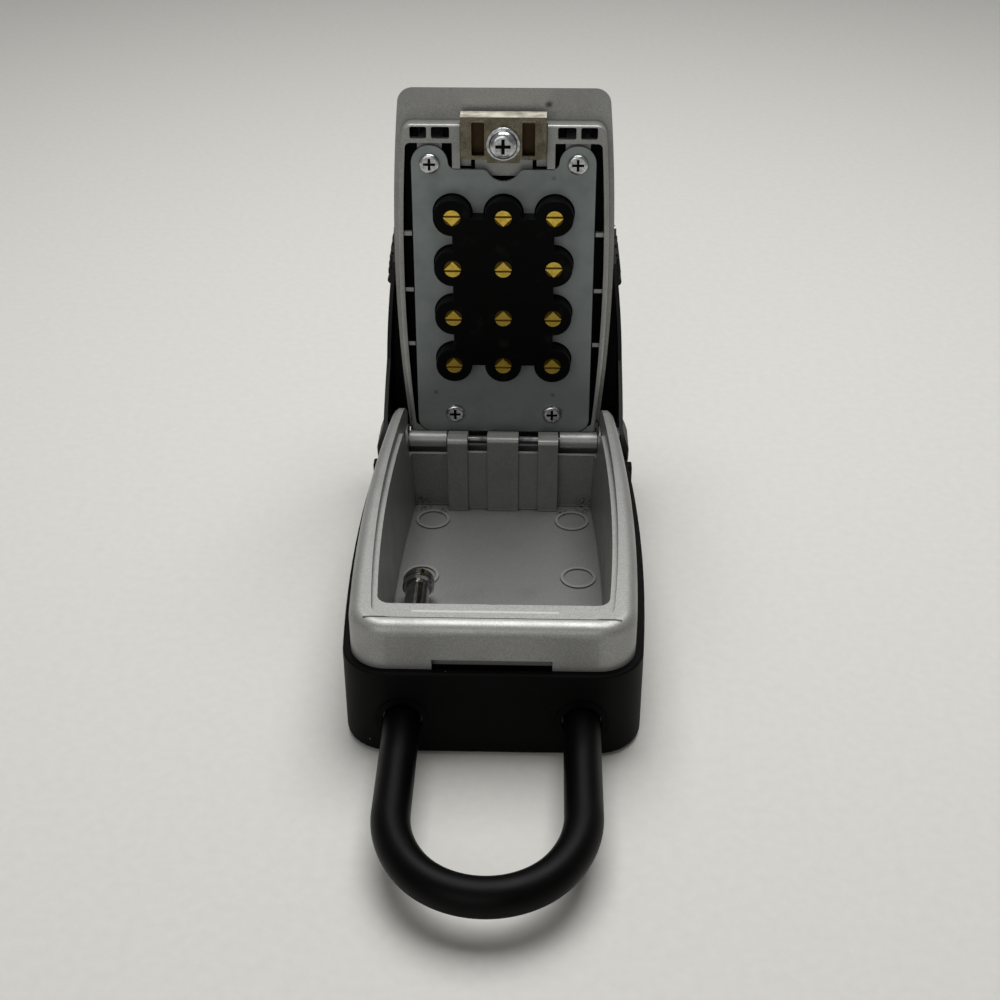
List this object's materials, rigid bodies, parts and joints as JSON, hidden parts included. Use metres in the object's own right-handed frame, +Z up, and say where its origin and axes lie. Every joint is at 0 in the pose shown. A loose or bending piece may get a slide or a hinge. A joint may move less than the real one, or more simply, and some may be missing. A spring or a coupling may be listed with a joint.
{
  "type": "portable key lock box",
  "caption": "Key lock box with a sleeved shackle, rubber bumper, key cavity and a hinged push-button door that is open and shows its code dials and latch.",
  "frame": {"origin": "middle of the flat back face that the box lies on", "axes": "+X across the box, +Y from the shackle towards the hinge, +Z up out of the back face"},
  "size_m": [0.0822, 0.2139, 0.1371],
  "materials": {
    "silver_paint": "satin silver paint",
    "black_rubber": "matte",
    "cover_rubber": "matte",
    "black_vinyl": "satin vinyl",
    "polished_steel": "polished",
    "zinc_steel": "bright zinc plate",
    "plate_steel": "satin",
    "inner_steel": "plain",
    "nickel": "dull nickel plate",
    "black_plastic": "moulded",
    "button_plastic": "moulded",
    "brass": "machined",
    "spring_steel": "bright wire"
  },
  "bodies": {
    "case": {"bumper": "black_rubber", "case": "silver_paint", "hinge_pin": "polished_steel", "shackle_lock_screw": "zinc_steel"},
    "shackle": {"shackle_bar": "polished_steel", "shackle_sleeve": "black_vinyl", "shackle_collar": "polished_steel"},
    "shackle_lock": {"shackle_lock_slide": "inner_steel"},
    "door": {"door_shell": "silver_paint", "lock_plate": "plate_steel", "plate_screws": "zinc_steel", "button_carrier": "black_plastic", "latch_spring": "spring_steel", "button_spring_1": "spring_steel", "button_spring_2": "spring_steel", "button_spring_3": "spring_steel", "button_spring_4": "spring_steel", "button_spring_5": "spring_steel", "button_spring_6": "spring_steel", "button_spring_7": "spring_steel", "button_spring_8": "spring_steel", "button_spring_9": "spring_steel", "button_spring_10": "spring_steel", "button_spring_11": "spring_steel", "button_spring_12": "spring_steel"},
    "latch": {"latch_bolt": "nickel", "latch_screw": "zinc_steel", "slide_plate": "inner_steel", "release_slide": "button_plastic"},
    "clear": {"clear_slide": "button_plastic"},
    "cover": {"weather_cover": "cover_rubber"},
    "button_1": {"push_button_1": "button_plastic"},
    "dial_1": {"code_dial_1": "brass"},
    "button_2": {"push_button_2": "button_plastic"},
    "dial_2": {"code_dial_2": "brass"},
    "button_3": {"push_button_3": "button_plastic"},
    "dial_3": {"code_dial_3": "brass"},
    "button_4": {"push_button_4": "button_plastic"},
    "dial_4": {"code_dial_4": "brass"},
    "button_5": {"push_button_5": "button_plastic"},
    "dial_5": {"code_dial_5": "brass"},
    "button_6": {"push_button_6": "button_plastic"},
    "dial_6": {"code_dial_6": "brass"},
    "button_7": {"push_button_7": "button_plastic"},
    "dial_7": {"code_dial_7": "brass"},
    "button_8": {"push_button_8": "button_plastic"},
    "dial_8": {"code_dial_8": "brass"},
    "button_9": {"push_button_9": "button_plastic"},
    "dial_9": {"code_dial_9": "brass"},
    "button_10": {"push_button_10": "button_plastic"},
    "dial_10": {"code_dial_10": "brass"},
    "button_11": {"push_button_11": "button_plastic"},
    "dial_11": {"code_dial_11": "brass"},
    "button_12": {"push_button_12": "button_plastic"},
    "dial_12": {"code_dial_12": "brass"}
  },
  "joints": [
    {"name": "door_hinge", "type": "hinge", "parent": "case", "child": "door", "pos_m": [0, 0.0552, 0.0283], "axis": [1, 0, 0], "range_deg": [0, 92.2]},
    {"name": "cover_hinge", "type": "hinge", "parent": "door", "child": "cover", "pos_m": [0, 0.0552, 0.0283], "axis": [1, 0, 0], "range_deg": [-60, 0]},
    {"name": "latch_slide", "type": "slide", "parent": "door", "child": "latch", "axis": [0, 0.0384, 0.9993], "range_m": [-0.0032, 0], "stiffness_N_per_m": 400, "springref_m": 0.004, "deforming": ["latch_spring"]},
    {"name": "clear_slide", "type": "slide", "parent": "door", "child": "clear", "axis": [0, -0.0384, -0.9993], "range_m": [0, 0.003], "stiffness_N_per_m": 200, "springref_m": -0.002},
    {"name": "shackle_slide", "type": "slide", "parent": "case", "child": "shackle", "axis": [0, -1, 0], "range_m": [0, 0.041]},
    {"name": "shackle_lock_slide", "type": "slide", "parent": "case", "child": "shackle_lock", "axis": [-1, 0, 0], "range_m": [-0.0016, 0]},
    {"name": "button_press_1", "type": "slide", "parent": "door", "child": "button_1", "axis": [0, -0.9993, 0.0384], "range_m": [0, 0.0025], "stiffness_N_per_m": 300, "springref_m": -0.003, "deforming": ["button_spring_1"]},
    {"name": "dial_turn_1", "type": "hinge", "parent": "button_1", "child": "dial_1", "pos_m": [-0.0151, 0.05802, 0.1017], "axis": [0, -0.9993, 0.0384], "range_deg": [0, 180]},
    {"name": "button_press_2", "type": "slide", "parent": "door", "child": "button_2", "axis": [0, -0.9993, 0.0384], "range_m": [0, 0.0025], "stiffness_N_per_m": 300, "springref_m": -0.003, "deforming": ["button_spring_2"]},
    {"name": "dial_turn_2", "type": "hinge", "parent": "button_2", "child": "dial_2", "pos_m": [0, 0.05802, 0.1017], "axis": [0, -0.9993, 0.0384], "range_deg": [0, 180]},
    {"name": "button_press_3", "type": "slide", "parent": "door", "child": "button_3", "axis": [0, -0.9993, 0.0384], "range_m": [0, 0.0025], "stiffness_N_per_m": 300, "springref_m": -0.003, "deforming": ["button_spring_3"]},
    {"name": "dial_turn_3", "type": "hinge", "parent": "button_3", "child": "dial_3", "pos_m": [0.0151, 0.05802, 0.1017], "axis": [0, -0.9993, 0.0384], "range_deg": [0, 180]},
    {"name": "button_press_4", "type": "slide", "parent": "door", "child": "button_4", "axis": [0, -0.9993, 0.0384], "range_m": [0, 0.0025], "stiffness_N_per_m": 300, "springref_m": -0.003, "deforming": ["button_spring_4"]},
    {"name": "dial_turn_4", "type": "hinge", "parent": "button_4", "child": "dial_4", "pos_m": [-0.0151, 0.05741, 0.08586], "axis": [0, -0.9993, 0.0384], "range_deg": [0, 180]},
    {"name": "button_press_5", "type": "slide", "parent": "door", "child": "button_5", "axis": [0, -0.9993, 0.0384], "range_m": [0, 0.0025], "stiffness_N_per_m": 300, "springref_m": -0.003, "deforming": ["button_spring_5"]},
    {"name": "dial_turn_5", "type": "hinge", "parent": "button_5", "child": "dial_5", "pos_m": [0, 0.05741, 0.08586], "axis": [0, -0.9993, 0.0384], "range_deg": [0, 180]},
    {"name": "button_press_6", "type": "slide", "parent": "door", "child": "button_6", "axis": [0, -0.9993, 0.0384], "range_m": [0, 0.0025], "stiffness_N_per_m": 300, "springref_m": -0.003, "deforming": ["button_spring_6"]},
    {"name": "dial_turn_6", "type": "hinge", "parent": "button_6", "child": "dial_6", "pos_m": [0.0151, 0.05741, 0.08586], "axis": [0, -0.9993, 0.0384], "range_deg": [0, 180]},
    {"name": "button_press_7", "type": "slide", "parent": "door", "child": "button_7", "axis": [0, -0.9993, 0.0384], "range_m": [0, 0.0025], "stiffness_N_per_m": 300, "springref_m": -0.003, "deforming": ["button_spring_7"]},
    {"name": "dial_turn_7", "type": "hinge", "parent": "button_7", "child": "dial_7", "pos_m": [-0.0151, 0.0568, 0.07002], "axis": [0, -0.9993, 0.0384], "range_deg": [0, 180]},
    {"name": "button_press_8", "type": "slide", "parent": "door", "child": "button_8", "axis": [0, -0.9993, 0.0384], "range_m": [0, 0.0025], "stiffness_N_per_m": 300, "springref_m": -0.003, "deforming": ["button_spring_8"]},
    {"name": "dial_turn_8", "type": "hinge", "parent": "button_8", "child": "dial_8", "pos_m": [0, 0.0568, 0.07002], "axis": [0, -0.9993, 0.0384], "range_deg": [0, 180]},
    {"name": "button_press_9", "type": "slide", "parent": "door", "child": "button_9", "axis": [0, -0.9993, 0.0384], "range_m": [0, 0.0025], "stiffness_N_per_m": 300, "springref_m": -0.003, "deforming": ["button_spring_9"]},
    {"name": "dial_turn_9", "type": "hinge", "parent": "button_9", "child": "dial_9", "pos_m": [0.0151, 0.0568, 0.07002], "axis": [0, -0.9993, 0.0384], "range_deg": [0, 180]},
    {"name": "button_press_10", "type": "slide", "parent": "door", "child": "button_10", "axis": [0, -0.9993, 0.0384], "range_m": [0, 0.0025], "stiffness_N_per_m": 300, "springref_m": -0.003, "deforming": ["button_spring_10"]},
    {"name": "dial_turn_10", "type": "hinge", "parent": "button_10", "child": "dial_10", "pos_m": [-0.0151, 0.05619, 0.05418], "axis": [0, -0.9993, 0.0384], "range_deg": [0, 180]},
    {"name": "button_press_11", "type": "slide", "parent": "door", "child": "button_11", "axis": [0, -0.9993, 0.0384], "range_m": [0, 0.0025], "stiffness_N_per_m": 300, "springref_m": -0.003, "deforming": ["button_spring_11"]},
    {"name": "dial_turn_11", "type": "hinge", "parent": "button_11", "child": "dial_11", "pos_m": [0, 0.05619, 0.05418], "axis": [0, -0.9993, 0.0384], "range_deg": [0, 180]},
    {"name": "button_press_12", "type": "slide", "parent": "door", "child": "button_12", "axis": [0, -0.9993, 0.0384], "range_m": [0, 0.0025], "stiffness_N_per_m": 300, "springref_m": -0.003, "deforming": ["button_spring_12"]},
    {"name": "dial_turn_12", "type": "hinge", "parent": "button_12", "child": "dial_12", "pos_m": [0.0151, 0.05619, 0.05418], "axis": [0, -0.9993, 0.0384], "range_deg": [0, 180]}
  ]
}
